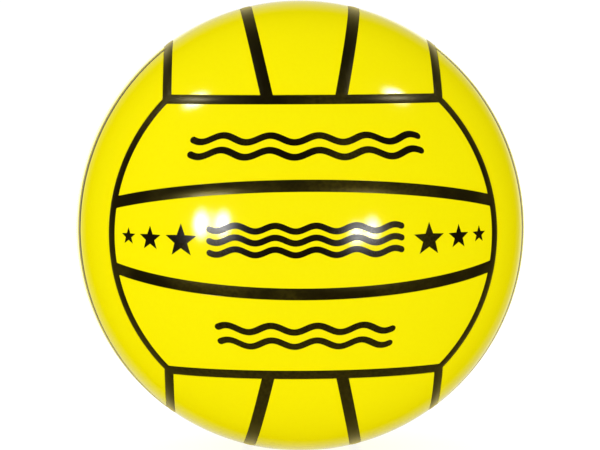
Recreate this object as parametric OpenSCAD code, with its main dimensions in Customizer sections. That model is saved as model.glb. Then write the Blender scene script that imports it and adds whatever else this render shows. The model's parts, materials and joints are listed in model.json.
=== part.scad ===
// Water polo ball, built as a laminated ball is built.
// An air bladder with its valve is wound with thread, a rubber carcass is moulded over it,
// and eighteen thin panels are bonded into the pockets between the carcass's raised ribs.
// The ribs come up flush with the panels and are the dark lines of the ball.
// The origin is the ball's centre. -Y is the front, +Z is up, and the valve is at +Y.

/* [Ball] */
// Outside diameter of the pumped-up ball
ball_d = 220; // [200:1:240]

/* [Seam layout] */
// Width of a rib on an edge between two faces
edge_rib_w = 5.2; // [2:0.1:8]
// Width of a rib between two strips of one face
strip_rib_w = 5.5; // [2:0.1:8]
// Middle strip of the front and back, from rib middle to rib middle
front_strip_w = 49.5; // [44:0.5:60]
// Middle strip of the top and bottom, from rib middle to rib middle
top_strip_w = 52.5; // [44:0.5:60]
// Middle strip of the left and right sides, from rib middle to rib middle
side_strip_w = 54.2; // [44:0.1:60]
// Lean of each strip seam's plane in degrees, which narrows a middle strip towards its ends
seam_lean = 12.3; // [6:0.1:16]

/* [Layers] */
// Thickness of a cover panel
panel_t = 1; // [0.6:0.05:2]
// Wall of the carcass under the panels
carcass_t = 0.5; // [0.3:0.05:1.5]
// Thickness of the thread winding
winding_t = 0.3; // [0.2:0.05:1]
// Wall of the air bladder
bladder_t = 0.6; // [0.4:0.05:1.5]
// Bond line between two layers
layer_gap = 0.1; // [0.05:0.01:0.3]
// Bond line between a panel's edge and the rib beside it
edge_gap = 0.1; // [0.05:0.01:0.3]

/* [Valve housing] */
// Diameter of the stem, seen as a round disc in the cover
stem_d = 13; // [11:0.5:18]
// Length of the stem, from the ball's surface inwards
stem_len = 24; // [22:0.5:36]
// Diameter of the flange that holds the housing inside the bladder
flange_d = 28; // [20:1:40]
// Thickness of the flange
flange_t = 1.4; // [0.8:0.1:3]
// Clearance between the stem and the holes that it goes through
stem_gap = 0.15; // [0.05:0.01:0.4]
// Diameter of the air duct where it leaves the stem
duct_d = 3; // [2.4:0.1:4]
// Diameter of the air duct where it opens under the core
duct_top_d = 5; // [4:0.1:6]

/* [Valve core] */
// Diameter of the core's plug
core_d = 6.4; // [5.6:0.1:7.4]
// Length of the core
core_len = 19; // [17:0.5:20]
// Diameter of the bead that keeps the core in the housing
bead_d = 8.6; // [7.8:0.1:9.4]
// Length of the bead's flat, without its two slopes
bead_len = 2; // [1:0.1:4]
// Depth of the bead's middle below the core's face
bead_depth = 6.5; // [5:0.1:9]
// How far the core's face lies below the ball's surface
core_recess = 0.3; // [0.1:0.1:1.5]
// Clearance between the core and the housing
core_gap = 0.1; // [0.05:0.01:0.3]
// Diameter of the needle bore
needle_bore_d = 2; // [1.6:0.1:2.4]
// Length of the needle bore, after its lead-in
needle_bore_len = 12; // [8:0.5:14]
// Diameter of the lead-in at the core's face
lead_in_d = 3; // [2.6:0.1:5]
// Depth of the lead-in
lead_in_len = 0.5; // [0.3:0.1:2]
// Width of the self-closing slit under the bore
slit_w = 3.2; // [2:0.1:4]
// Opening of the slit
slit_t = 0.15; // [0.1:0.01:0.3]

/* [Hidden] */
$fn = 180;
// Overrun of every cutting solid
over = 2;

ball_r = ball_d / 2;
panel_in_r = ball_r - panel_t;
carcass_out_r = panel_in_r - layer_gap;
carcass_in_r = carcass_out_r - carcass_t;
winding_out_r = carcass_in_r - layer_gap;
winding_in_r = winding_out_r - winding_t;
bladder_out_r = winding_in_r - layer_gap;
bladder_in_r = bladder_out_r - bladder_t;
flange_out_r = bladder_in_r - layer_gap;
flange_in_r = flange_out_r - flange_t;

// Angle between an axis of a cube and its corner
corner_angle = acos(1 / sqrt(3));
// One third of a turn about the cube's diagonal carries each face to the next
face_turn = 120;
cube_diagonal = [1, 1, 1];

stem_end_z = ball_r - stem_len;
core_face_z = ball_r - core_recess;
core_end_z = core_face_z - core_len;
bead_z = core_face_z - bead_depth;
bead_rise = (bead_d - core_d) / 2;
bore_mouth_z = core_face_z - lead_in_len;
bore_end_z = bore_mouth_z - needle_bore_len;

cover_colour = "#fbea04";
rib_colour = "#1d1608";
thread_colour = "#d9d3c4";
bladder_colour = "#3a3a3c";
housing_colour = "#24211c";
core_colour = "#3d3a36";

// Each face: its name, its thirds of a turn, its half turn, the names of its strips
// from the one on its positive side to the one on its negative side, and its middle strip
faces = [
    ["back", 0, [0, 0, 0], ["upper", "middle", "lower"], front_strip_w],
    ["front", 0, [0, 0, 180], ["upper", "middle", "lower"], front_strip_w],
    ["top", 1, [0, 0, 0], ["right", "middle", "left"], top_strip_w],
    ["bottom", 1, [180, 0, 0], ["right", "middle", "left"], top_strip_w],
    ["right", 2, [0, 0, 0], ["back", "middle", "front"], side_strip_w],
    ["left", 2, [0, 0, 180], ["front", "middle", "back"], side_strip_w],
];
// The side of the face on which each of the three strips lies
sides = [1, 0, -1];

function panel_name(face, i) = str(face[0], "_", face[3][i], "_panel");

// Angle in degrees of a length laid along the ball's surface
function surface_angle(length) = length / ball_r * 180 / PI;

// Distance from the ball's centre to the leaning plane of a strip seam
function seam_plane(strip_w) =
    cos(seam_lean) * strip_w / 2 - sin(seam_lean) * sqrt(pow(ball_r, 2) - pow(strip_w / 2, 2));

// Turns what points along +Z to the valve's side
module toward_valve() {
    rotate([-90, 0, 0]) children();
}

// Carries a shape from the back face to another face
module on_face(face) {
    rotate(face[2]) rotate(a = face_turn * face[1], v = cube_diagonal) children();
}

// Hollow sphere
module shell(r_in, r_out) {
    difference() {
        sphere(r = r_out);
        sphere(r = r_in);
    }
}

// Cone from the ball's centre along +Z, with half its opening given in degrees
module cone(half_angle) {
    reach = ball_r + 2 * over;
    cylinder(h = reach, r1 = 0, r2 = reach * tan(half_angle));
}

// Everything above a height, as wide as the ball
module above(z) {
    reach = ball_r + 2 * over;
    translate([-reach, -reach, z]) cube([2 * reach, 2 * reach, reach + abs(z)]);
}

// Everything below a height, as wide as the ball
module below(z) {
    mirror([0, 0, 1]) above(-z);
}

// One face on the back of the ball, with its edges a margin inside the ribs
module face_shell(r_in, r_out, margin) {
    half_rib = surface_angle(edge_rib_w / 2 + margin);
    difference() {
        intersection() {
            shell(r_in, r_out);
            toward_valve() cone(corner_angle - half_rib);
        }
        cone(corner_angle + half_rib);
        mirror([0, 0, 1]) cone(corner_angle + half_rib);
    }
}

// One strip of the back face: side 1 is the upper one, 0 the middle one and -1 the lower one
module strip(strip_w, side, r_in, r_out, margin) {
    plane = seam_plane(strip_w);
    half_rib = strip_rib_w / 2 + margin;
    difference() {
        face_shell(r_in, r_out, margin);
        if (side == 0) {
            rotate([seam_lean, 0, 0]) above(plane - half_rib);
            mirror([0, 0, 1]) rotate([seam_lean, 0, 0]) above(plane - half_rib);
        }
        if (side == 1) {
            rotate([seam_lean, 0, 0]) below(plane + half_rib);
        }
        if (side == -1) {
            mirror([0, 0, 1]) rotate([seam_lean, 0, 0]) below(plane + half_rib);
        }
    }
}

// Hole for the valve's stem, from the surface to inside the bladder
module stem_hole() {
    toward_valve() translate([0, 0, flange_in_r]) {
        cylinder(h = ball_r + over - flange_in_r, d = stem_d + 2 * stem_gap);
    }
}

// Cover panel, bonded into its pocket in the carcass
module panel(face, i) {
    color(cover_colour) difference() {
        on_face(face) strip(face[4], sides[i], panel_in_r, ball_r, edge_gap);
        if (panel_name(face, i) == "back_middle_panel") {
            stem_hole();
        }
    }
}

// Rubber carcass, whose ribs stand up between the panels
module carcass() {
    color(rib_colour) difference() {
        shell(carcass_in_r, ball_r);
        for (face = faces, i = [0 : 2]) {
            on_face(face) strip(face[4], sides[i], carcass_out_r, ball_r + over, 0);
        }
        stem_hole();
    }
}

// Layer of nylon thread, which keeps the ball round
module winding() {
    color(thread_colour) difference() {
        shell(winding_in_r, winding_out_r);
        stem_hole();
    }
}

// Airtight bladder
module bladder() {
    color(bladder_colour) difference() {
        shell(bladder_in_r, bladder_out_r);
        stem_hole();
    }
}

// Outline of the core about the valve's axis, with all its sides moved out by a gap
module core_body(gap) {
    r = core_d / 2 + gap;
    half_flat = bead_len / 2 + gap;
    rotate_extrude() polygon([
        [0, core_end_z - gap],
        [r, core_end_z - gap],
        [r, bead_z - half_flat - bead_rise],
        [r + bead_rise, bead_z - half_flat],
        [r + bead_rise, bead_z + half_flat],
        [r, bead_z + half_flat + bead_rise],
        [r, core_face_z],
        [0, core_face_z],
    ]);
}

// The needle's bore with its lead-in, and on past the core's face
module needle_passage() {
    rotate_extrude() polygon([
        [0, bore_end_z],
        [needle_bore_d / 2, bore_end_z],
        [needle_bore_d / 2, bore_mouth_z],
        [lead_in_d / 2, core_face_z],
        [lead_in_d / 2, core_face_z + over],
        [0, core_face_z + over],
    ]);
}

// Flared duct through the housing's floor, from under the core to past the stem's end
module air_duct() {
    rotate_extrude() polygon([
        [0, stem_end_z - over],
        [duct_d / 2, stem_end_z - over],
        [duct_d / 2, stem_end_z],
        [duct_top_d / 2, core_end_z],
        [0, core_end_z],
    ]);
}

// Soft rubber housing: a stem that ends flush with the cover, and a flange inside the bladder
module valve_housing() {
    color(housing_colour) toward_valve() difference() {
        union() {
            intersection() {
                sphere(r = ball_r);
                translate([0, 0, stem_end_z]) cylinder(h = stem_len + over, d = stem_d);
            }
            intersection() {
                shell(flange_in_r, flange_out_r);
                cylinder(h = ball_r, d = flange_d);
            }
        }
        core_body(core_gap);
        translate([0, 0, core_face_z - over]) cylinder(h = 2 * over, d = core_d + 2 * core_gap);
        air_duct();
    }
}

// Self-sealing core, with the bore that a pump's needle goes through
module valve_core() {
    color(core_colour) toward_valve() difference() {
        core_body(0);
        needle_passage();
        translate([-slit_w / 2, -slit_t / 2, core_end_z - over]) {
            cube([slit_w, slit_t, bore_end_z + slit_t - core_end_z + over]);
        }
    }
}

bladder();
winding();
carcass();
valve_housing();
valve_core();
for (face = faces, i = [0 : 2]) {
    panel(face, i);
}
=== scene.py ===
# %% [markdown]
# # A water polo ball, from bare solids to a finished look
# The frame holds the ball's solids at their real size: a bladder, a thread winding, a rubber carcass
# with raised ribs, eighteen panels between the ribs, and a valve. They could be painted as they are,
# but their triangles are cut for machining and not for gloss. So the pieces that show are built again
# here on the same lines, with even meshes, and the hidden ones only get their finish.

# %% Load the frame
import json
from math import acos, atan2, copysign, cos, pi, radians, sin, sqrt

import bmesh
import bpy
from mathutils import Matrix, Vector
from mathutils.kdtree import KDTree


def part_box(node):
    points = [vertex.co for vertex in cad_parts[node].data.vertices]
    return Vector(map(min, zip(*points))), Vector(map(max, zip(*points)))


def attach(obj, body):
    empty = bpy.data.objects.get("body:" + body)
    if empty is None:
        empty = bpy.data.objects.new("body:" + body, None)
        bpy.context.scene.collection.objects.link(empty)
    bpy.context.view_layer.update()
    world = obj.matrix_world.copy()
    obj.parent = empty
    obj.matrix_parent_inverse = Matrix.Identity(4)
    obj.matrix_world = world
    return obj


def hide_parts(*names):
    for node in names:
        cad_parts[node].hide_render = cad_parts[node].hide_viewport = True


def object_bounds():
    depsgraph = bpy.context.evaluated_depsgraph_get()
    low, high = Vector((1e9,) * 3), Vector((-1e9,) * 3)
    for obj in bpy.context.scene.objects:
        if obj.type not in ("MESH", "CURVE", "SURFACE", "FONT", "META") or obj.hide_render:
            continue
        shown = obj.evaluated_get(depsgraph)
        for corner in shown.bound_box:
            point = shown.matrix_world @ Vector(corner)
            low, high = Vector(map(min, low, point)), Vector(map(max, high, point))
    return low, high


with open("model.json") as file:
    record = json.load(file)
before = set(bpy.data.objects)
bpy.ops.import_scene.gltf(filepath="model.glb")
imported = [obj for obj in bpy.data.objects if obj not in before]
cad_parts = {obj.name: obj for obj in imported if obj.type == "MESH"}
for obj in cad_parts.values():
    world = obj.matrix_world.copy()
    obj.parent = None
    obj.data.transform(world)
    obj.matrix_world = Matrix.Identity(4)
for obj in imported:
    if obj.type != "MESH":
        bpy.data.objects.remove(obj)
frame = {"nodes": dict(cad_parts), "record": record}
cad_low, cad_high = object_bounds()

print("nodes in the frame:", len(frame["nodes"]))

# %% [markdown]
# ## Sizes
# A ball is a stack of thin layers, so most of its sizes are radii, and the frame's boxes give them.
# The seam layout repeats the design's own sizes in metres. Ink is printed on top of the skin: the skin
# is drawn an ink film smaller, so that the prints, and not the skin, reach the ball's full size.

# %% Sizes of the layers and seams
mm = 0.001
ball_r = (cad_high.z - cad_low.z) / 2
ink_t = 0.03 * mm
skin_r = ball_r - ink_t

panel_t = 1 * mm
layer_gap = 0.1 * mm
edge_gap = 0.1 * mm
panel_in_r = ball_r - panel_t
carcass_out_r = panel_in_r - layer_gap
carcass_in_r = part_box("winding")[1].x + layer_gap

edge_rib_w = 5.2 * mm
strip_rib_w = 5.5 * mm
front_strip_w = 49.5 * mm
top_strip_w = 52.5 * mm
side_strip_w = 54.2 * mm
seam_lean = radians(12.3)
corner_angle = acos(1 / sqrt(3))

print(f"ball radius {ball_r / mm:.3f} mm, carcass {carcass_in_r / mm:.2f} to {carcass_out_r / mm:.2f} mm")

# %% [markdown]
# ## Six faces that are all alike
# The seams divide the ball as the faces of a cube do, and each face into three strips. Every face could
# be drawn on its own, but one face drawn on the back, at +Y, serves for all six: thirds of a turn about
# the cube's diagonal and a half turn carry it to each place.

# %% The faces and where they go
class Face:
    """One face: its place on the ball, the names of its strips and the width of the middle one."""

    def __init__(self, thirds, half_turn_axis, half_turn, strips, strip_w):
        diagonal = Matrix.Rotation(thirds * 2 * pi / 3, 4, Vector((1, 1, 1)))
        self.place = Matrix.Rotation(half_turn * pi, 4, half_turn_axis) @ diagonal
        self.strips = strips
        self.strip_w = strip_w


# The names run from the strip on a face's positive side to the one on its negative side
faces = {
    "back": Face(0, "Z", 0, ("upper", "middle", "lower"), front_strip_w),
    "front": Face(0, "Z", 1, ("upper", "middle", "lower"), front_strip_w),
    "top": Face(1, "X", 0, ("right", "middle", "left"), top_strip_w),
    "bottom": Face(1, "X", 1, ("right", "middle", "left"), top_strip_w),
    "right": Face(2, "Z", 0, ("back", "middle", "front"), side_strip_w),
    "left": Face(2, "Z", 1, ("front", "middle", "back"), side_strip_w),
}
print("faces:", len(faces), "with", sum(len(face.strips) for face in faces.values()), "strips")

# %% [markdown]
# ## Seams as planes
# A straight cut through a ball leaves a circle on its skin, and every seam of this ball is such a circle.
# So each long edge of a strip is one plane, given by its lean and its distance from the centre. A strip
# between two planes is laid row by row: each row is a circle of its own, between the face's two sides.

# %% Planes of a strip and the rows between them
def seam_plane(strip_w):
    """Distance from the centre to the leaning plane in the middle of a strip seam."""
    return cos(seam_lean) * strip_w / 2 - sin(seam_lean) * sqrt(ball_r**2 - (strip_w / 2) ** 2)


def strip_planes(strip_w, side, gap):
    """Lean and distance of the planes along a strip's lower and upper edge, a gap inside its ribs."""
    half_rib = strip_rib_w / 2 + gap
    if side == 0:
        reach = seam_plane(strip_w) - half_rib
        return (-seam_lean, -reach), (seam_lean, reach)
    face_end = skin_r * cos(corner_angle + (edge_rib_w / 2 + gap) / ball_r)
    near, far = (seam_lean, seam_plane(strip_w) + half_rib), (0, face_end)
    if side == 1:
        return near, far
    return (-far[0], -far[1]), (-near[0], -near[1])


def between(low, high, share):
    """The plane that is a share of the way from one plane to another."""
    return low[0] + share * (high[0] - low[0]), low[1] + share * (high[1] - low[1])


def point_on_row(plane, across, gap):
    """Point of the back face on a row's circle; across runs from -1 at the left side to 1 at the right."""
    lean, dist = plane
    up = Vector((0, -sin(lean), cos(lean)))
    out = Vector((0, cos(lean), sin(lean)))
    circle_r = sqrt(skin_r**2 - dist**2)
    side_y = skin_r * cos(corner_angle - (edge_rib_w / 2 + gap) / ball_r)
    end = acos((side_y - dist * up.y) / (circle_r * out.y))
    turn = across * end
    return dist * up + circle_r * (sin(turn) * Vector((1, 0, 0)) + cos(turn) * out)


print(f"strip seams lie {seam_plane(front_strip_w) / mm:.2f} mm from the centre on the front")

# %% [markdown]
# ## Procedural finishes
# A finish is a small network of nodes that reads the object's own coordinates, so it sticks to the piece
# in every view. A picture would be simpler, but nodes have no seams and no resolution. Effects such as
# cloudiness, grain and scuffs are node groups with named inputs, built once and placed where needed.

# %% Helpers that build node trees
def feed(value, socket):
    """Gives a socket a number, a vector, a colour without its alpha, or the output of another node."""
    if isinstance(value, bpy.types.NodeSocket):
        socket.id_data.links.new(value, socket)
    elif socket.type == "RGBA":
        socket.default_value = (*value, 1)
    else:
        socket.default_value = value


def set_inputs(node, **values):
    """Feeds a node's inputs, whose names are given with underscores for their spaces."""
    for name, value in values.items():
        feed(value, node.inputs[name.replace("_", " ")])


def add_node(tree, kind, **values):
    """A node of a kind such as "TexNoise", with its inputs and settings given by name."""
    node = tree.nodes.new("ShaderNode" + kind)
    for name, value in values.items():
        if name.replace("_", " ") in node.inputs:
            set_inputs(node, **{name: value})
        else:
            setattr(node, name, value)
    return node


def new_group(name, inputs, output):
    """A shader node group with a Vector, number inputs and one output, and its sockets on the inside."""
    group = bpy.data.node_groups.new(name, "ShaderNodeTree")
    group.interface.new_socket("Vector", in_out="INPUT", socket_type="NodeSocketVector")
    for socket, value in inputs.items():
        made = group.interface.new_socket(socket, in_out="INPUT", socket_type="NodeSocketFloat")
        made.default_value = value
    group.interface.new_socket(output, in_out="OUTPUT", socket_type="NodeSocketFloat")
    return group, group.nodes.new("NodeGroupInput").outputs, group.nodes.new("NodeGroupOutput").inputs


def use_group(tree, group, **values):
    """Places a group in a material, with its own values; returns the group's one output."""
    node = tree.nodes.new("ShaderNodeGroup")
    node.node_tree = group
    set_inputs(node, **values)
    return node.outputs[0]


def math_node(tree, operation, first, second=0):
    """A Math node between two sockets or numbers; returns its output."""
    node = add_node(tree, "Math", operation=operation)
    feed(first, node.inputs[0])
    feed(second, node.inputs[1])
    return node.outputs[0]


def map_range(tree, value, low, high, to_low, to_high):
    """Maps a value from one span to another, clamped; returns the result."""
    node = add_node(tree, "MapRange", Value=value, From_Min=low, From_Max=high,
                    To_Min=to_low, To_Max=to_high)
    return node.outputs["Result"]


# A Mix node has its sockets once for each kind of data: where its first input and its result are
mix_sockets = {"FLOAT": (2, 0), "RGBA": (6, 2)}


def mix(tree, kind, mask, first, second):
    """Mixes two numbers or two colours by a mask; returns the result."""
    node = add_node(tree, "Mix", data_type=kind, Factor=mask)
    at, result_at = mix_sockets[kind]
    feed(first, node.inputs[at])
    feed(second, node.inputs[at + 1])
    return node.outputs[result_at]


def bump(tree, height, distance):
    """Turns a height, times a distance in metres, into a normal, which it returns."""
    return add_node(tree, "Bump", Strength=1.0, Distance=distance, Height=height).outputs["Normal"]


def new_material(name):
    """A material with its Principled shader and the socket of the object's own coordinates."""
    material = bpy.data.materials.new(name)
    material.use_nodes = True
    tree = material.node_tree
    place = add_node(tree, "TexCoord").outputs["Object"]
    return material, tree, tree.nodes["Principled BSDF"], place


# %% [markdown]
# Cloudiness is slow noise, as pigment settles unevenly in a moulded sheet, and grain is fine noise in
# two sizes, for the skin of rubber and ink. Nearly every finish uses both. Scuffs are noise stretched in
# two directions and cut off high, which leaves short thin strokes on the cover as handling does.

# %% Node groups for cloudiness, grain and scuffs
# How much larger the coarse grain is: its noise has this share of the fine noise's scale
coarse_scale = 0.22
# Turn and stretch of each set of strokes, and the noise values between which a stroke sets in
stroke_sets = (((0.3, 0.5, 0.2), (1, 1, 14)), ((0.9, -0.4, 1.1), (12, 1, 1)))
stroke_from, stroke_to = 0.66, 0.74


def make_cloud_group():
    inputs = {"Scale": 12.0, "Detail": 3.0, "Low": 0.3, "High": 0.7}
    group, given, result = new_group("cloudiness", inputs, "Mask")
    noise = add_node(group, "TexNoise", Vector=given["Vector"], Scale=given["Scale"],
                     Detail=given["Detail"])
    feed(map_range(group, noise.outputs["Fac"], given["Low"], given["High"], 0, 1), result["Mask"])
    return group


def make_grain_group():
    group, given, result = new_group("fine_grain", {"Scale": 900.0, "Coarse Share": 0.5}, "Height")
    heights = []
    for share in (1.0, coarse_scale):
        scale = math_node(group, "MULTIPLY", given["Scale"], share)
        noise = add_node(group, "TexNoise", Vector=given["Vector"], Scale=scale, Detail=2.0)
        heights.append(noise.outputs["Fac"])
    feed(mix(group, "FLOAT", given["Coarse Share"], *heights), result["Height"])
    return group


def make_scuff_group():
    group, given, result = new_group("scuffs", {"Scale": 60.0, "Amount": 0.3}, "Mask")
    strokes = []
    for turn, stretch in stroke_sets:
        mapping = add_node(group, "Mapping", Vector=given["Vector"], Rotation=turn, Scale=stretch)
        noise = add_node(group, "TexNoise", Vector=mapping.outputs["Vector"], Scale=given["Scale"],
                         Detail=4.0)
        strokes.append(map_range(group, noise.outputs["Fac"], stroke_from, stroke_to, 0, 1))
    both = math_node(group, "MAXIMUM", *strokes)
    feed(math_node(group, "MULTIPLY", both, given["Amount"]), result["Mask"])
    return group


cloud_group = make_cloud_group()
grain_group = make_grain_group()
scuff_group = make_scuff_group()
print("node groups:", [group.name for group in bpy.data.node_groups])

# %% [markdown]
# ## The yellow cover
# The panels are moulded sheets of glossy coloured rubber with a closed, smooth skin. A single colour and
# roughness would look like plastic from a screen, so the pigment clouds slightly, fine grain breaks the
# edge of each highlight, and faint scuffs dull the gloss here and there.

# %% Finish of the cover panels
yellow_deep, yellow_light, yellow_speck = (0.9, 0.785, 0.0), (0.915, 0.8, 0.0), (0.875, 0.75, 0.0)
speck_strength = 0.25
rough_clean, rough_scuffed = 0.08, 0.16


def make_cover_finish():
    material, tree, shader, place = new_material("glossy_yellow_cover")
    cloud = use_group(tree, cloud_group, Vector=place, Scale=11.0, Detail=2.0)
    speck = use_group(tree, cloud_group, Vector=place, Scale=700.0, Detail=1.0)
    grain = use_group(tree, grain_group, Vector=place, Scale=1400.0, Coarse_Share=0.6)
    scuff = use_group(tree, scuff_group, Vector=place, Scale=90.0, Amount=0.5)
    clouded = mix(tree, "RGBA", cloud, yellow_deep, yellow_light)
    speck_share = math_node(tree, "MULTIPLY", speck, speck_strength)
    set_inputs(
        shader,
        Base_Color=mix(tree, "RGBA", speck_share, clouded, yellow_speck),
        Roughness=map_range(tree, scuff, 0, 1, rough_clean, rough_scuffed),
        IOR=1.5,
        Normal=bump(tree, grain, 0.004 * mm),
    )
    return material


cover_finish = make_cover_finish()
print("finish of the panels:", cover_finish.name)

# %% [markdown]
# ## The dark rubber of the ribs
# The ribs are the carcass itself, a nearly black brown rubber that comes up between the panels. A plain
# dark colour would look like a hole in the yellow. On the photograph the ribs are mottled, lighter
# underneath and lighter brown towards the outline. So worn patches lift the colour, and a painted light
# lifts it towards the bottom, both broken up by fine specks. The gloss is in two layers: a wide brown glow
# from the rubber itself and a thin clear coat with the lamps in it. A brown sheen brightens what is seen
# at a slant.

# %% Finish of the carcass and of the ink
# Painted light from below lifts the colour from the first of these heights down to the second
underside_light_from, underside_light_to = -20 * mm, -50 * mm
# How much of the lifted colour shows, in worn patches and in the painted light below, where there is no
# speck
lifted_least = 0.35


def make_dark_finish(name, dark, lifted, rough, speck_scale, grain_depth, **gloss):
    """A dark rubber or ink, lifted where it is worn and, by painted light, towards the bottom; gloss names
    more inputs of its shader.
    """
    material, tree, shader, place = new_material(name)
    patches = use_group(tree, cloud_group, Vector=place, Scale=26.0, Detail=2.0, Low=0.45, High=0.65)
    specks = use_group(tree, cloud_group, Vector=place, Scale=speck_scale, Detail=3.0,
                       Low=0.36, High=0.64)
    grain = use_group(tree, grain_group, Vector=place, Scale=1600.0, Coarse_Share=0.4)
    height = add_node(tree, "SeparateXYZ", Vector=place).outputs["Z"]
    # Painted light from below: the colour lifts between the two heights, towards the bottom
    painted_underside_light = map_range(tree, height, underside_light_from, underside_light_to, 0, 1)
    worn_and_lit = math_node(tree, "MAXIMUM", patches, painted_underside_light)
    lifted_share = math_node(tree, "MULTIPLY", worn_and_lit, map_range(tree, specks, 0, 1, lifted_least, 1))
    set_inputs(
        shader,
        Base_Color=mix(tree, "RGBA", lifted_share, dark, lifted),
        Roughness=map_range(tree, specks, 0, 1, *rough),
        Normal=bump(tree, grain, grain_depth),
        **gloss,
    )
    return material


rib_finish = make_dark_finish(
    "dark_rib_rubber",
    dark=(0.0045, 0.0025, 0.0001),
    lifted=(0.032, 0.024, 0.001),
    rough=(0.31, 0.36),
    speck_scale=650.0,
    grain_depth=0.008 * mm,
    Specular_IOR_Level=0.45,
    Specular_Tint=(1, 0.8, 0.15),
    Coat_Weight=0.14,
    Coat_Roughness=0.2,
    Sheen_Weight=1,
    Sheen_Roughness=0.27,
    Sheen_Tint=(0.8, 0.65, 0.07),
)
ink_finish = make_dark_finish(
    "dark_print_ink",
    dark=(0.0068, 0.0042, 0.0001),
    lifted=(0.03, 0.023, 0.001),
    rough=(0.18, 0.23),
    speck_scale=900.0,
    grain_depth=0.006 * mm,
    Specular_IOR_Level=0.25,
)
print("finishes of the ribs and of the ink:", rib_finish.name, ink_finish.name)

# %% [markdown]
# ## The valve's rubbers
# The housing is soft black rubber and its core a firmer dark grey one. Both come out of sanded moulds, so
# they are matte with a dense grain. Dust collects on them sooner than on the cover, so the cloudiness
# lifts their colour a little towards grey.

# %% Finishes of the valve
housing_finish = make_dark_finish(
    "soft_valve_rubber",
    dark=(0.013, 0.012, 0.011),
    lifted=(0.05, 0.047, 0.042),
    rough=(0.45, 0.62),
    speck_scale=500.0,
    grain_depth=0.02 * mm,
)
core_finish = make_dark_finish(
    "firm_core_rubber",
    dark=(0.045, 0.043, 0.04),
    lifted=(0.1, 0.096, 0.09),
    rough=(0.5, 0.7),
    speck_scale=700.0,
    grain_depth=0.02 * mm,
)
print("finishes of the valve:", housing_finish.name, core_finish.name)

# %% [markdown]
# ## The layers nobody sees
# Under the carcass lies thread, wound over the bladder in all directions and soaked in glue. Modelling
# kilometres of thread would serve no view, so three sets of fine bands cross each other in colour and
# bump. The bladder is dark rubber dusted with chalk, which keeps it from sticking to itself.

# %% Finishes of the winding and the bladder
thread_turns = ((0.2, 0.1, 0.4), (1.3, 0.5, 0.2), (0.4, 1.2, 1.0))
thread_dark, thread_light, glue_brown = (0.42, 0.36, 0.25), (0.78, 0.74, 0.64), (0.62, 0.5, 0.3)
glue_strength = 0.4
bladder_black, chalk_grey = (0.03, 0.03, 0.032), (0.2, 0.2, 0.2)


def make_thread_finish():
    material, tree, shader, place = new_material("glued_thread")
    height = None
    for turn in thread_turns:
        mapping = add_node(tree, "Mapping", Vector=place, Rotation=turn)
        wave = add_node(tree, "TexWave", Vector=mapping.outputs["Vector"], Scale=520.0, Distortion=1.5,
                        Detail=1.0, Detail_Scale=0.1)
        fac = wave.outputs["Fac"]
        height = fac if height is None else math_node(tree, "MAXIMUM", height, fac)
    glue = use_group(tree, cloud_group, Vector=place, Scale=60.0, Detail=3.0)
    thread = mix(tree, "RGBA", height, thread_dark, thread_light)
    glue_share = math_node(tree, "MULTIPLY", glue, glue_strength)
    set_inputs(
        shader,
        Base_Color=mix(tree, "RGBA", glue_share, thread, glue_brown),
        Roughness=0.55,
        Normal=bump(tree, height, 0.12 * mm),
    )
    return material


def make_bladder_finish():
    material, tree, shader, place = new_material("chalked_bladder_rubber")
    chalk = use_group(tree, cloud_group, Vector=place, Scale=35.0, Detail=6.0)
    grain = use_group(tree, grain_group, Vector=place, Scale=1200.0, Coarse_Share=0.5)
    set_inputs(
        shader,
        Base_Color=mix(tree, "RGBA", chalk, bladder_black, chalk_grey),
        Roughness=map_range(tree, chalk, 0, 1, 0.4, 0.85),
        Normal=bump(tree, grain, 0.02 * mm),
    )
    return material


for node, finish in (("winding", make_thread_finish()), ("bladder", make_bladder_finish())):
    frame["nodes"][node].data.materials.clear()
    frame["nodes"][node].data.materials.append(finish)
print("finishes made:", len(bpy.data.materials))

# %% [markdown]
# ## Turning a bmesh into a piece
# Gloss shows every error in a mesh's normals. On a ball the true normal is known everywhere: it points
# away from the centre. So each vertex on the skin gets that normal, and the rounded rims blend into it.
# Every piece stays at the origin, rides on the ball's one body and stands for its node in the frame.

# %% Make a piece
# Edges sharper than this aren't smoothed over
sharp_from = radians(40)


def object_from(bm, name):
    """Turns a bmesh into an object in the scene."""
    mesh = bpy.data.meshes.new(name)
    bm.to_mesh(mesh)
    bm.free()
    made = bpy.data.objects.new(name, mesh)
    bpy.context.scene.collection.objects.link(made)
    return made


def make_piece(name, bm, finish, replaced=()):
    """Turns a bmesh into a finished piece of the ball, which may stand for nodes of the frame."""
    bmesh.ops.recalc_face_normals(bm, faces=bm.faces[:])
    piece = object_from(bm, name)
    mesh = piece.data
    mesh.shade_smooth()
    mesh.set_sharp_from_angle(angle=sharp_from)
    skin_from = skin_r - ink_t / 3
    mesh.normals_split_custom_set_from_vertices(
        [v.co.normalized() if v.co.length > skin_from else Vector((0, 0, 0)) for v in mesh.vertices]
    )
    mesh.materials.append(finish)
    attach(piece, "root")
    if replaced:
        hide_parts(*replaced)
    return piece


def pull_to(geom, radius):
    """Moves the vertices among some geometry to a distance from the centre."""
    for v in geom:
        if isinstance(v, bmesh.types.BMVert):
            v.co *= radius / v.co.length


def thicken(bm, inner_r):
    """Gives a sheet on the skin its wall, by a copy pulled in towards the centre; returns its rim."""
    rim = [e for e in bm.edges if e.is_boundary]
    sheet = bm.faces[:] + bm.edges[:] + bm.verts[:]
    copied = bmesh.ops.extrude_face_region(bm, geom=sheet, use_keep_orig=True)
    pull_to(copied["geom"], inner_r)
    return rim


# %% [markdown]
# ## The hole for the valve
# The valve's stem goes through one panel and through the carcass. A boolean cut would leave slivers
# around the hole. Here a block of the grid is taken out and its edge is bridged to a circle with as many
# points, which keeps the mesh in even quads.

# %% Open a round hole about the valve's axis
stem_hole_r = 6.65 * mm
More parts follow.
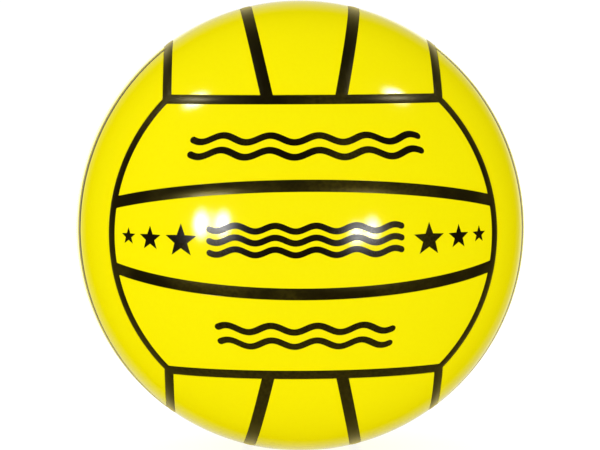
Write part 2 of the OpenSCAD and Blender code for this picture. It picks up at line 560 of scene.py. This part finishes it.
# Half the width of the square that is taken out of the grid around the hole
block_half_w = 1.3 * stem_hole_r
# Turns a shape that is made about Z to the valve's axis, +Y
to_valve = Matrix.Rotation(-pi / 2, 4, "X")


def near_valve(co, reach):
    """Whether a point lies at the back, in the square that reaches so far from the valve's axis."""
    return co.y > 0 and max(abs(co.x), abs(co.z)) < reach


def open_round_hole(bm):
    """Opens the hole in a sheet that lies at one radius there; returns the edges of its rim."""
    hit = [f for f in bm.faces if near_valve(f.calc_center_median(), block_half_w)]
    sheet_r = hit[0].verts[0].co.length
    bmesh.ops.delete(bm, geom=hit, context="FACES")
    reach = 1.5 * block_half_w
    edge = [e for e in bm.edges if e.is_boundary and all(near_valve(v.co, reach) for v in e.verts)]
    ring = bmesh.ops.create_circle(bm, segments=len(edge), radius=stem_hole_r, matrix=to_valve)["verts"]
    for v in ring:
        v.co.y = sqrt(sheet_r**2 - v.co.x**2 - v.co.z**2)
    ring_edges = list({e for v in ring for e in v.link_edges})
    spokes = bmesh.ops.bridge_loops(bm, edges=edge + ring_edges)["edges"]
    cut = bmesh.ops.subdivide_edges(bm, edges=spokes, cuts=2, use_grid_fill=True)["geom_inner"]
    pull_to(cut, sheet_r)
    return ring_edges


# %% [markdown]
# ## Cover panels
# A panel is a curved sheet one millimetre thick that is bonded into its pocket. It starts as a flat grid,
# whose rows are laid on the circles between the strip's two seams. Then it gets its wall, and its rim is
# rounded by a small bevel, as a moulded edge is. Cutting all eighteen out of one sphere would be shorter,
# but its edges would run through the mesh at random, and bevels need even rows.

# %% Build the eighteen panels
rim_round = 0.08 * mm


def cover_panel(face_name, i):
    """The panel in one strip of a face, counted from the face's positive side."""
    face = faces[face_name]
    has_valve = (face_name, i) == ("back", 1)
    rows, columns = (48, 160) if has_valve else (24, 96)
    low, high = strip_planes(face.strip_w, 1 - i, edge_gap)
    bm = bmesh.new()
    bmesh.ops.create_grid(bm, x_segments=columns, y_segments=rows, size=1)
    for v in bm.verts:
        v.co = point_on_row(between(low, high, (v.co.y + 1) / 2), v.co.x, edge_gap)
    if has_valve:
        open_round_hole(bm)
    rim = thicken(bm, panel_in_r)
    bmesh.ops.bevel(bm, geom=rim, offset=rim_round, segments=2, profile=0.5, affect="EDGES", material=-1)
    bmesh.ops.transform(bm, matrix=face.place, verts=bm.verts[:])
    node = f"{face_name}_{face.strips[i]}_panel"
    return make_piece(f"cover_{face_name}_{face.strips[i]}", bm, cover_finish, [node])


panels = [cover_panel(face_name, i) for face_name in faces for i in range(3)]
print("panels:", len(panels), "with", sum(len(p.data.polygons) for p in panels), "faces")

# %% [markdown]
# ## The ribbed carcass
# The carcass is one moulding: a thin shell whose ribs stand up between the panels. It could be a sphere
# with eighteen pockets cut by booleans, but here it grows the other way. Six face grids are laid down
# with the rib rows between their pockets, their sides are bridged into one closed skin, and then the
# pockets are pressed in, which leaves the ribs standing.

# %% Lay down the six faces of the carcass
pocket_rows, rib_rows, middle_rows = 26, 4, 16
face_cells = 2 * pocket_rows + 2 * rib_rows + middle_rows


def carcass_rows(strip_w):
    """Planes of a face's rows from the lowest to the highest, and whether a pocket lies after each."""
    lower, middle, upper = (strip_planes(strip_w, side, 0) for side in (-1, 0, 1))
    bands = [
        (*lower, pocket_rows, True),
        (lower[1], middle[0], rib_rows, False),
        (*middle, middle_rows, True),
        (middle[1], upper[0], rib_rows, False),
        (*upper, pocket_rows, True),
    ]
    planes = [between(low, high, k / n) for low, high, n, _ in bands for k in range(n)] + [upper[1]]
    return planes, [pocket for _, _, n, pocket in bands for _ in range(n)]


def lay_carcass_face(bm, face, pocket_layer):
    """Lays a face's grid on the ball and marks the cells that lie over its pockets."""
    planes, pockets = carcass_rows(face.strip_w)
    made = bmesh.ops.create_grid(bm, x_segments=face_cells, y_segments=face_cells, size=1)["verts"]
    for f in {f for v in made for f in v.link_faces}:
        row = int((f.calc_center_median().y + 1) / 2 * face_cells)
        f[pocket_layer] = int(pockets[row])
    for v in made:
        row = round((v.co.y + 1) / 2 * face_cells)
        v.co = face.place @ point_on_row(planes[row], v.co.x, 0)


print(f"each face of the carcass has {face_cells} by {face_cells} cells")

# %% [markdown]
# Each of the twelve edges between two faces is an arc about one of the ball's axes. The side of one face
# and the long edge of its neighbour lie half a rib on either side of it, with as many points each, so
# bridging them gives the rib's top. The eight corners are left as small three-sided holes and are filled.

# %% Bridge the faces and fill the corners
# Distances below this count as none
tiny = 0.001 * mm


def arc_edges(bm, axis, offset, toward):
    """Open edges on one side of the ball, on the circle at an offset from the middle of a rib."""
    height = skin_r * cos(corner_angle + offset / ball_r)
    found = []
    for e in bm.edges:
        on_circle = all(abs(v.co.dot(axis) - height) < tiny for v in e.verts)
        if e.is_boundary and on_circle and e.verts[0].co.dot(toward) > 0:
            found.append(e)
    return found


def bridge_faces(bm, pocket_layer):
    """Joins the six faces by the tops of the ribs between them and rounds everything to the skin."""
    x_axis, y_axis, z_axis = (Vector(a) for a in ((1, 0, 0), (0, 1, 0), (0, 0, 1)))
    spokes, tops = [], []
    for axis, across in ((y_axis, x_axis), (z_axis, y_axis), (x_axis, z_axis)):
        for axis_sign in (1, -1):
            for across_sign in (1, -1):
                own = arc_edges(bm, axis_sign * axis, -edge_rib_w / 2, across_sign * across)
                other = arc_edges(bm, axis_sign * axis, edge_rib_w / 2, across_sign * across)
                bridge = bmesh.ops.bridge_loops(bm, edges=own + other)
                spokes += bridge["edges"]
                tops += bridge["faces"]
    tops += bmesh.ops.holes_fill(bm, edges=[e for e in bm.edges if e.is_boundary], sides=3)["faces"]
    for f in tops:
        f[pocket_layer] = 0
    bmesh.ops.subdivide_edges(bm, edges=spokes, cuts=rib_rows - 1, use_grid_fill=True)
    pull_to(bm.verts, skin_r)


# %% [markdown]
# The photograph shows the rib ends grey in the middle and darker at both edges, and the rib along each
# side of the ball is dark although the cover beside it mirrors white. A slightly rounded top does that. So
# the ribs' tops are lowered towards their edges, by the distance to the nearest point of a pocket.
#
# Pressing the pockets in is one extrusion of all their faces, pulled towards the centre. The edges where
# a rib's top meets a pocket's wall are bevelled. Inside, a plain sphere closes the shell: it is cut open
# at the valve and bridged to the hole in the pocket's floor.

# %% Round the ribs, press the pockets and close the shell
crown_height = 0.2 * mm


def crown_ribs(bm, pocket_layer):
    """Lowers the tops of the ribs towards their edges."""
    tops = [v for v in bm.verts if not all(f[pocket_layer] for f in v.link_faces)]
    edges = [v for v in tops if any(f[pocket_layer] for f in v.link_faces)]
    nearest = KDTree(len(edges))
    for k, v in enumerate(edges):
        nearest.insert(v.co, k)
    nearest.balance()
    drops = [crown_height * max(1 - nearest.find(v.co)[2] / (edge_rib_w / 2), 0) ** 2 for v in tops]
    for v, drop in zip(tops, drops):
        v.co *= 1 - drop / v.co.length


def press_pockets(bm, pocket_layer):
    """Pulls the pockets in to the shell; returns the edges between the ribs' tops and their walls."""
    floors = [f for f in bm.faces if f[pocket_layer]]
    floor_edges = list({e for f in floors for e in f.edges})
    floor_verts = list({v for f in floors for v in f.verts})
    pressed = bmesh.ops.extrude_face_region(bm, geom=floors + floor_edges + floor_verts)["geom"]
    pull_to(pressed, carcass_out_r)
    halfway = (skin_r + carcass_out_r) / 2
    on_top = {v for v in bm.verts if v.co.length > halfway}
    walls = [f for f in bm.faces if 0 < len(on_top.intersection(f.verts)) < len(f.verts)]
    return list({e for f in walls for e in f.edges if on_top.issuperset(e.verts)})


def close_inside(bm, hole_edges):
    """Adds the inner side of the shell and joins it to the valve's hole."""
    segments = 4 * len(hole_edges)
    inner = bmesh.ops.create_uvsphere(bm, u_segments=segments, v_segments=segments // 2,
                                      radius=carcass_in_r, matrix=to_valve)["verts"]
    inner_edges = list({e for v in inner for e in v.link_edges})
    inner_faces = list({f for v in inner for f in v.link_faces})
    cut_y = sqrt(carcass_in_r**2 - stem_hole_r**2)
    cut = bmesh.ops.bisect_plane(bm, geom=inner + inner_edges + inner_faces, plane_co=(0, cut_y, 0),
                                 plane_no=(0, 1, 0), clear_outer=True)
    loop = [e for e in cut["geom_cut"] if isinstance(e, bmesh.types.BMEdge)]
    bmesh.ops.bridge_loops(bm, edges=loop + hole_edges)


def ribbed_carcass():
    bm = bmesh.new()
    pocket_layer = bm.faces.layers.int.new("pocket")
    for face in faces.values():
        lay_carcass_face(bm, face, pocket_layer)
    bridge_faces(bm, pocket_layer)
    crown_ribs(bm, pocket_layer)
    rib_edges = press_pockets(bm, pocket_layer)
    bmesh.ops.bevel(bm, geom=rib_edges, offset=rim_round, segments=2, profile=0.5, affect="EDGES",
                    material=-1)
    close_inside(bm, open_round_hole(bm))
    return make_piece("ribbed_carcass", bm, rib_finish, ["carcass"])


carcass = ribbed_carcass()
print(f"carcass faces: {len(carcass.data.polygons)}, ribs crowned by {crown_height / mm:.1f} mm")

# %% [markdown]
# ## The valve
# The valve is round about its axis, so each part is a profile spun about +Y. The housing is a stem that
# ends flush with the cover in a small disc with a ring groove, and a flange that sits inside the bladder.
# The core fills its seat, with a bead that snaps into a groove and a bore for the pump's needle.

# %% Spin a profile about the valve's axis
spin_steps = 96
# Edges sharper than this are rounded
rounded_from = radians(35)


def spun(profile, closed):
    """Spins points of (radius, height along +Y) once round; a closed profile doesn't touch the axis."""
    bm = bmesh.new()
    verts = [bm.verts.new((r, y, 0)) for r, y in profile]
    chain = [bm.edges.new(pair) for pair in zip(verts, verts[1:])]
    if closed:
        chain.append(bm.edges.new((verts[-1], verts[0])))
    bmesh.ops.spin(bm, geom=verts + chain, cent=(0, 0, 0), axis=(0, 1, 0), angle=2 * pi, steps=spin_steps,
                   use_merge=True)
    bmesh.ops.remove_doubles(bm, verts=bm.verts[:], dist=tiny)
    return bm


def round_edges(bm, radius):
    """Rounds every sharp edge of a spun part."""
    sharp = [e for e in bm.edges if e.is_manifold and e.calc_face_angle() > rounded_from]
    bmesh.ops.bevel(bm, geom=sharp, offset=radius, segments=3, profile=0.5, affect="EDGES", material=-1,
                    clamp_overlap=True)


# %% [markdown]
# On a real ball the housing is one soft moulding that is glued in through the hole. Stem, flange, duct
# and seat could be tubes joined by booleans. Since all of them are round about one axis, one closed
# profile gives them in a single spin, and its sharp edges are rounded together afterwards.

# %% The housing
housing_low, housing_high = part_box("valve_housing")
core_low, core_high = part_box("valve_core")
stem_r = 6.5 * mm
flange_r = housing_high.x
flange_out_r = 107.2 * mm
flange_in_r = 105.8 * mm
seat_gap = 0.1 * mm
core_r = 3.2 * mm
seat_r = core_r + seat_gap
bead_r = core_high.x
bead_rise = bead_r - core_r
bead_depth = 6.5 * mm
bead_y = core_high.y - bead_depth
bead_half = 1 * mm
duct_r, duct_top_r = 1.5 * mm, 2.5 * mm
groove_r, groove_w, groove_depth = 5 * mm, 0.6 * mm, 0.3 * mm
flange_steps = 8
housing_round = 0.12 * mm


def skin_y(r, radius=None):
    """Height of the skin, or of a sphere of another radius, at a distance r from the valve's axis."""
    return sqrt((radius or skin_r) ** 2 - r**2)


def housing_profile():
    """Points round the section: the top face, the flange, then duct and seat inside."""
    groove_in_r, groove_out_r = groove_r - groove_w / 2, groove_r + groove_w / 2
    top = [
        (seat_r, skin_y(seat_r)),
        (groove_in_r, skin_y(groove_in_r)),
        (groove_r, skin_y(groove_r) - groove_depth),
        (groove_out_r, skin_y(groove_out_r)),
        (stem_r, skin_y(stem_r)),
    ]
    flange_rs = [stem_r + (flange_r - stem_r) * k / flange_steps for k in range(flange_steps + 1)]
    flange_top = [(r, skin_y(r, flange_out_r)) for r in flange_rs]
    flange_under = [(r, skin_y(r, flange_in_r)) for r in reversed(flange_rs)]
    floor_y = core_low.y - seat_gap
    inside = [
        (stem_r, housing_low.y),
        (duct_r, housing_low.y),
        (duct_top_r, floor_y),
        (seat_r, floor_y),
        (seat_r, bead_y - bead_half - bead_rise),
        (bead_r + seat_gap, bead_y - bead_half),
        (bead_r + seat_gap, bead_y + bead_half),
        (seat_r, bead_y + bead_half + bead_rise),
    ]
    return top + flange_top + flange_under + inside


housing_bm = spun(housing_profile(), closed=True)
round_edges(housing_bm, housing_round)
housing = make_piece("valve_collar", housing_bm, housing_finish, ["valve_housing"])
print(f"housing: a stem {2 * stem_r / mm:.0f} mm and a flange {2 * flange_r / mm:.0f} mm across")

# %% [markdown]
# The core's face is slightly dished towards the needle's lead-in, so that a needle finds its way. Below
# the bore the real core is slit, and the slit is closed until the needle opens it. That slit is cut
# through the spun core with a thin block, which is the one place where a boolean is the simple way.

# %% The core
bore_r, bore_len = 1 * mm, 12 * mm
bore_mouth_y = frame["record"]["mounts"][0]["pos_m"][1]
bore_end_y = bore_mouth_y - bore_len
lead_in_r = 1.5 * mm
dish_r, dish_depth = 2.7 * mm, 0.12 * mm
slit_w, slit_t = 3.2 * mm, 0.15 * mm
core_round = 0.1 * mm


def core_profile():
    """Points along the section, from the bore's end to the core's inner end, both on the axis."""
    face_y = core_high.y
    return [
        (0, bore_end_y),
        (bore_r, bore_end_y),
        (bore_r, bore_mouth_y),
        (lead_in_r, face_y - dish_depth),
        (dish_r, face_y),
        (core_r, face_y),
        (core_r, bead_y + bead_half + bead_rise),
        (bead_r, bead_y + bead_half),
        (bead_r, bead_y - bead_half),
        (core_r, bead_y - bead_half - bead_rise),
        (core_r, core_low.y),
        (0, core_low.y),
    ]


def cut_slit(piece):
    """Cuts the closed slit from the core's inner end up to the bore, and keeps the result as the mesh."""
    overrun = 1 * mm
    bm = bmesh.new()
    top_y = bore_end_y + slit_t
    size = Vector((slit_w, top_y - core_low.y + overrun, slit_t))
    centre = Vector((0, top_y - size.y / 2, 0))
    bmesh.ops.create_cube(bm, size=1, matrix=Matrix.Translation(centre) @ Matrix.Diagonal((*size, 1)))
    block = object_from(bm, "slit_block")
    cut = piece.modifiers.new("slit", "BOOLEAN")
    cut.object, cut.solver = block, "EXACT"
    evaluated = piece.evaluated_get(bpy.context.evaluated_depsgraph_get())
    result = bpy.data.meshes.new_from_object(evaluated)
    piece.modifiers.clear()
    piece.data = result
    bpy.data.objects.remove(block)


core_bm = spun(core_profile(), closed=False)
round_edges(core_bm, core_round)
core = make_piece("valve_plug", core_bm, core_finish, ["valve_core"])
cut_slit(core)
print("valve faces:", len(housing.data.polygons), len(core.data.polygons))

# %% [markdown]
# ## Printed ornaments
# Ink is a film a few hundredths of a millimetre thick. Drawing it as a picture on the panel would blur
# its edges, so each print is a thin piece of its own, drawn flat, laid on the ball and given a thickness
# that sinks into the skin. Six stars flank the front's middle, and wave lines run along its three strips.

# %% Lay a flat drawing on the ball
def on_ball(azimuth, elevation):
    """Direction from the centre, with azimuth 0 at the front and growing to the right."""
    return Vector((cos(elevation) * sin(azimuth), -cos(elevation) * cos(azimuth), sin(elevation)))


def lay_print(verts, azimuth, elevation):
    """Lays flat points, in metres, on the front: x runs along the circle of latitude and y uphill."""
    for v in verts:
        turn = azimuth + v.co.x / (ball_r * cos(elevation))
        rise = elevation + v.co.y / ball_r
        v.co = ball_r * on_ball(turn, rise)


def make_print(name, bm):
    """Turns a sheet on the ball into a piece of ink that reaches into the skin."""
    thicken(bm, skin_r - 2 * ink_t)
    return make_piece(name, bm, ink_finish)


# %% [markdown]
# A star starts as a fan of ten triangles. Every second point of its rim is pulled in to the ratio of a
# five-pointed star, and the fan is divided finely enough to follow the ball. The photographed stars are
# a little wider than high, the small ones most, so each size has its own width.

# %% The six stars
# Azimuth and elevation of each size, and the width and height of the circle through its five tips
star_places = {
    "large": (31.2, -0.44, 17.5, 16.1),
    "medium": (40.4, -0.16, 13.3, 11.8),
    "small": (47.8, 0.08, 10.0, 8.25),
}
star_inner_share = 0.418
star_corners, star_cuts = 10, 5


def star_print(name, azimuth, elevation, width, height):
    """One star, whose corners are tips and notches in turn, with a tip at its top."""
    bm = bmesh.new()
    bmesh.ops.create_circle(bm, cap_ends=True, cap_tris=True, radius=1, segments=star_corners)
    rim = sorted((v for v in bm.verts if v.co.length > 0.5), key=lambda v: atan2(v.co.x, v.co.y))
    tip = min(range(star_corners), key=lambda k: abs(atan2(rim[k].co.x, rim[k].co.y)))
    for k in range(star_corners):
        if (k - tip) % 2:
            rim[k].co *= star_inner_share
    bmesh.ops.scale(bm, vec=(width / 2, height / 2, 1), verts=bm.verts[:])
    bmesh.ops.subdivide_edges(bm, edges=bm.edges[:], cuts=star_cuts, use_grid_fill=True)
    lay_print(bm.verts, azimuth, elevation)
    return make_print(name, bm)


for size_name, (azimuth, elevation, width, height) in star_places.items():
    for side_name, side in (("left", -1), ("right", 1)):
        star_print(f"star_{size_name}_{side_name}", side * radians(azimuth), radians(elevation),
                   width * mm, height * mm)
print("stars:", 2 * len(star_places))

# %% [markdown]
# A wave line is a long narrow grid. Its middle follows a sine, and its width is laid off square to it.
# The last columns at each end are set by their angle on a half circle, which makes the ends round. The
# three strips of the front carry lines of different length and stroke.

# %% The wave lines
class WaveBand:
    """A band of lines: its place in degrees, its length in mm, and how many lines of which shape in mm."""

    def __init__(self, azimuth, elevation, length, lines, stroke, swing, pitch, wave_len):
        self.azimuth, self.elevation = radians(azimuth), radians(elevation)
        self.length, self.stroke, self.swing = length * mm, stroke * mm, swing * mm
        self.pitch, self.wave_len = pitch * mm, wave_len * mm
        self.lines = lines


wave_bands = {
    "wave_print_upper": WaveBand(0.5, 22.7, 113, 2, 3.3, 1.7, 7.2, 22.6),
    "wave_print_middle": WaveBand(0, 0, 93, 3, 2.9, 1.3, 5.4, 18.6),
    "wave_print_lower": WaveBand(0, -23.9, 84, 2, 3.3, 1.7, 7.6, 21),
}
# The grid of a line: the length of a column, the columns in each round end, and the rows
column_len, end_columns, line_rows = 0.7 * mm, 8, 4


def wave_line(bm, band, offset):
    """Adds one line to a band's mesh, a distance uphill of the band's middle."""
    columns = round(band.length / column_len)
    end_r = band.stroke / 2
    straight = 1 - 2 * end_columns / columns
    made = bmesh.ops.create_grid(bm, x_segments=columns, y_segments=line_rows, size=1)["verts"]
    for v in made:
        end_angle = max(abs(v.co.x) - straight, 0) / (1 - straight) * pi / 2
        reach = min(abs(v.co.x) / straight, 1) * (band.length / 2 - end_r) + end_r * sin(end_angle)
        along = copysign(reach, v.co.x)
        phase = 2 * pi * along / band.wave_len
        slope = band.swing * 2 * pi / band.wave_len * cos(phase)
        square_to_line = Vector((-slope, 1, 0)).normalized()
        middle = Vector((along, band.swing * sin(phase) + offset, 0))
        v.co = middle + v.co.y * end_r * cos(end_angle) * square_to_line
    bmesh.ops.remove_doubles(bm, verts=made, dist=tiny)


def wave_print(name, band):
    """All lines of a band, as one piece."""
    bm = bmesh.new()
    for k in range(band.lines):
        wave_line(bm, band, (k - (band.lines - 1) / 2) * band.pitch)
    lay_print(bm.verts, band.azimuth, band.elevation)
    return make_print(name, bm)


for name, band in wave_bands.items():
    wave_print(name, band)
print("wave lines:", sum(band.lines for band in wave_bands.values()), "in", len(wave_bands), "bands")

# %% [markdown]
# ## The camera
# The photograph was taken with a long lens from a little above the ball's middle. The camera stands at
# the distance and angles at which the drawn seams fall on the photographed ones.

# %% Place the camera
view_azimuth, view_elevation, view_roll = radians(-1.39), radians(3.583), radians(0.257)
view_distance = 1.4509
focal_mm, sensor_mm = 177.8, 36
# Pixels by which the ball sits off the middle of the picture, and the picture's width in pixels
ball_off_right, ball_off_down, frame_w = 0.1, 0.5, 600

camera = bpy.data.objects.new("camera", bpy.data.cameras.new("camera"))
bpy.context.scene.collection.objects.link(camera)
bpy.context.scene.camera = camera
camera.data.lens, camera.data.sensor_width = focal_mm, sensor_mm
camera.data.shift_x, camera.data.shift_y = -ball_off_right / frame_w, ball_off_down / frame_w
to_camera = on_ball(view_azimuth, view_elevation)
aim = to_camera.to_track_quat("Z", "Y").to_matrix().to_4x4()
place = Matrix.Translation(to_camera * view_distance)
camera.matrix_world = place @ aim @ Matrix.Rotation(-view_roll, 4, "Z")
print(f"camera: {view_distance:.2f} m from the ball's centre, with a lens of {focal_mm} mm")

# %% [markdown]
# ## The studio
# The ball stands in a bright white room, but the room behind the camera is dark: the gloss of the ball
# shows it, because its middle mirrors no white and only its rim does. So the world gives the diffuse
# light evenly, while mirrored rays see white only behind the ball: a soft backdrop and, left and right of
# it, two rim lights, which bleach the ball's sides. The even light grows a little towards the left.

# %% World light
# The even light on its dim and its bright side, and the azimuth and elevation of the bright side
fill_low, fill_high = 0.885, 1.3
bright_side_at = (-80, 5)
# The white that the camera sees around the ball
seen_white = 1.05
# Azimuth, elevation, reach in degrees and strength of the white that the gloss mirrors
backdrop = (180, -3, 39, 1.05)
rim_lights = ((164, 0, 17, 1.4), (-164, 0, 17, 1.4))


def angle_from(tree, direction, azimuth, elevation):
    """The angle between a direction and a place in the studio, as a socket."""
    dot = add_node(tree, "VectorMath", operation="DOT_PRODUCT")
    feed(direction, dot.inputs[0])
    feed(on_ball(radians(azimuth), radians(elevation)), dot.inputs[1])
    return math_node(tree, "ARCCOSINE", dot.outputs["Value"])


def soft_disc(tree, direction, azimuth, elevation, reach, strength):
    """A round light that fades from its middle to nothing at its reach, as a socket."""
    angle = angle_from(tree, direction, azimuth, elevation)
    return map_range(tree, angle, radians(reach), 0, 0, strength)


def make_world():
    world = bpy.data.worlds.new("white_studio")
    bpy.context.scene.world = world
    world.use_nodes = True
    tree = world.node_tree
    tree.nodes.clear()
    direction = add_node(tree, "TexCoord").outputs["Generated"]
    rays = add_node(tree, "LightPath").outputs
    bright_side = math_node(tree, "COSINE", angle_from(tree, direction, *bright_side_at))
    fill = map_range(tree, bright_side, -1, 1, fill_low, fill_high)
    mirrored = soft_disc(tree, direction, *backdrop)
    for rim_light in rim_lights:
        mirrored = math_node(tree, "ADD", mirrored, soft_disc(tree, direction, *rim_light))
    strength = mix(tree, "FLOAT", rays["Is Glossy Ray"], fill, mirrored)
    seen = mix(tree, "FLOAT", rays["Is Camera Ray"], strength, seen_white)
    light = add_node(tree, "Background", Color=(1, 1, 1), Strength=seen)
    add_node(tree, "OutputWorld", Surface=light.outputs[0])
    world.cycles.sampling_method = "NONE"


make_world()
print("behind the ball: a backdrop and", len(rim_lights), "rim lights")

# %% [markdown]
# The photograph shows no floor, but seen from higher up a ball without one would seem to float. A white
# floor that only received light would go grey around the ball, so this one also glows, almost as white
# as the room. The gloss doesn't mirror it, because the photographed gloss shows no floor either.

# %% Floor
floor_half_w = 30
floor_grey = (0.3, 0.3, 0.3)
floor_glow = 0.84


def make_floor():
    bm = bmesh.new()
    bmesh.ops.create_grid(bm, x_segments=1, y_segments=1, size=floor_half_w,
                          matrix=Matrix.Translation((0, 0, cad_low.z)))
    floor = object_from(bm, "studio_floor")
    material = bpy.data.materials.new("pale_floor")
    material.use_nodes = True
    set_inputs(
        material.node_tree.nodes["Principled BSDF"],
        Base_Color=floor_grey,
        Roughness=1,
        Specular_IOR_Level=0,
        Emission_Color=(1, 1, 1),
        Emission_Strength=floor_glow,
    )
    floor.data.materials.append(material)
    floor.visible_glossy = False


make_floor()
print(f"floor at {cad_low.z / mm:.0f} mm, where the ball touches it")

# %% [markdown]
# ## Highlights
# The white spots are soft lamps that the gloss mirrors. Each lamp stands where the camera's line of sight
# goes after it is mirrored at the spot, and it is a card that fades towards its rim. The cards only serve
# the gloss, because the world already gives the even light.

# %% Mirror lamps
lamp_distance = 1.1
# Azimuth and elevation of each spot on the ball, its width and height there in mm, its tilt and strength
lamp_spots = {
    "lamp_left_outer": (-25.7, 3.7, 12, 18, 0, 50),
    "lamp_left_middle": (-23.0, 3.7, 9, 18, 0, 12),
    "lamp_left_inner": (-20.1, 3.7, 12, 18, 0, 50),
    "lamp_right_inner": (12.0, 1.2, 11, 17, 0, 34),
    "lamp_right_middle": (14.0, 1.8, 9, 16, 0, 8),
    "lamp_right_outer": (16.0, 2.4, 12, 17, 0, 34),
    "lamp_upper_left": (-33.6, 35.0, 11, 16, 48, 36),
    "lamp_upper_right": (28.6, 36.1, 11, 15, -42, 36),
}


def make_card_finish():
    """Emission that fades from a card's middle to its rim, with its strength read from the object."""
    material = bpy.data.materials.new("soft_lamp_card")
    material.use_nodes = True
    tree = material.node_tree
    tree.nodes.clear()
    place = add_node(tree, "TexCoord").outputs["Object"]
    distance = add_node(tree, "VectorMath", operation="LENGTH", Vector=place).outputs["Value"]
    fade = add_node(tree, "MapRange", interpolation_type="SMOOTHSTEP", Value=distance,
                    To_Min=1, To_Max=0)
    own_strength = add_node(tree, "ObjectInfo").outputs["Alpha"]
    strength = math_node(tree, "MULTIPLY", fade.outputs["Result"], own_strength)
    both = add_node(tree, "AddShader")
    feed(add_node(tree, "Emission", Strength=strength).outputs[0], both.inputs[0])
    feed(add_node(tree, "BsdfTransparent").outputs[0], both.inputs[1])
    add_node(tree, "OutputMaterial", Surface=both.outputs[0])
    return material


card_finish = make_card_finish()


def make_lamp(name, azimuth, elevation, width, height, tilt, strength):
    """A card whose mirror image on the ball has the given place and size."""
    normal = on_ball(radians(azimuth), radians(elevation))
    spot = normal * ball_r
    sight = (camera.matrix_world.translation - spot).normalized()
    mirrored = 2 * normal.dot(sight) * normal - sight
    place = spot + mirrored * lamp_distance
    grow = 2 * lamp_distance / ball_r
    bm = bmesh.new()
    bmesh.ops.create_grid(bm, x_segments=1, y_segments=1, size=1)
    lamp = object_from(bm, name)
    lamp.data.materials.append(card_finish)
    aim = (-mirrored).to_track_quat("Z", "Y").to_matrix().to_4x4()
    size = Matrix.Diagonal((width * mm * grow / 2, height * mm * grow / 2, 1, 1))
    lamp.matrix_world = Matrix.Translation(place) @ aim @ Matrix.Rotation(radians(tilt), 4, "Z") @ size
    lamp.color = (1, 1, 1, strength)
    lamp.visible_camera = lamp.visible_diffuse = lamp.visible_shadow = False


for name, spot in lamp_spots.items():
    make_lamp(name, *spot)
print("lamp cards:", len(lamp_spots))

# %% [markdown]
# ## Colours as they are
# The default view would roll bright yellow off towards cream. The plain sRGB view keeps the colours as
# the finishes state them, as a product photograph does.

# %% View settings
bpy.context.scene.view_settings.view_transform = "Standard"
print("view:", bpy.context.scene.view_settings.view_transform)
